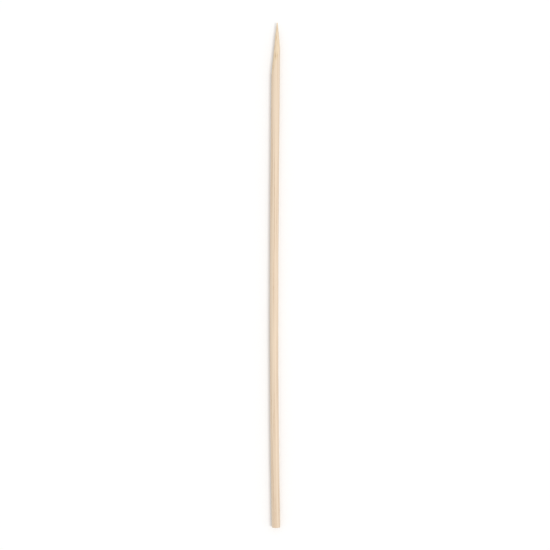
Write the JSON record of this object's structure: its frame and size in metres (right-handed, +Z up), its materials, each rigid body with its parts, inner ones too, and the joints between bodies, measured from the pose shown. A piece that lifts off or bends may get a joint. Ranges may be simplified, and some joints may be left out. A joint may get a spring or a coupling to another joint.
{
  "type": "bamboo skewer",
  "caption": "Slim round bamboo stick, sawn square at one end and ground to a point at the other, for threading and holding small pieces of food.",
  "frame": {"origin": "on the surface that the stick lies on, under the middle of its bounding box", "axes": "+Y along the stick from the sawn butt to the point, +Z up from the surface, +X to the right seen from above with the point away from the viewer"},
  "size_m": [0.0036, 0.18, 0.003],
  "materials": {
    "bamboo": "pale dry bamboo, drum-smoothed and uncoated, satin with fine lengthwise fibres"
  },
  "bodies": {
    "root": {"skewer": "bamboo"}
  },
  "joints": []
}
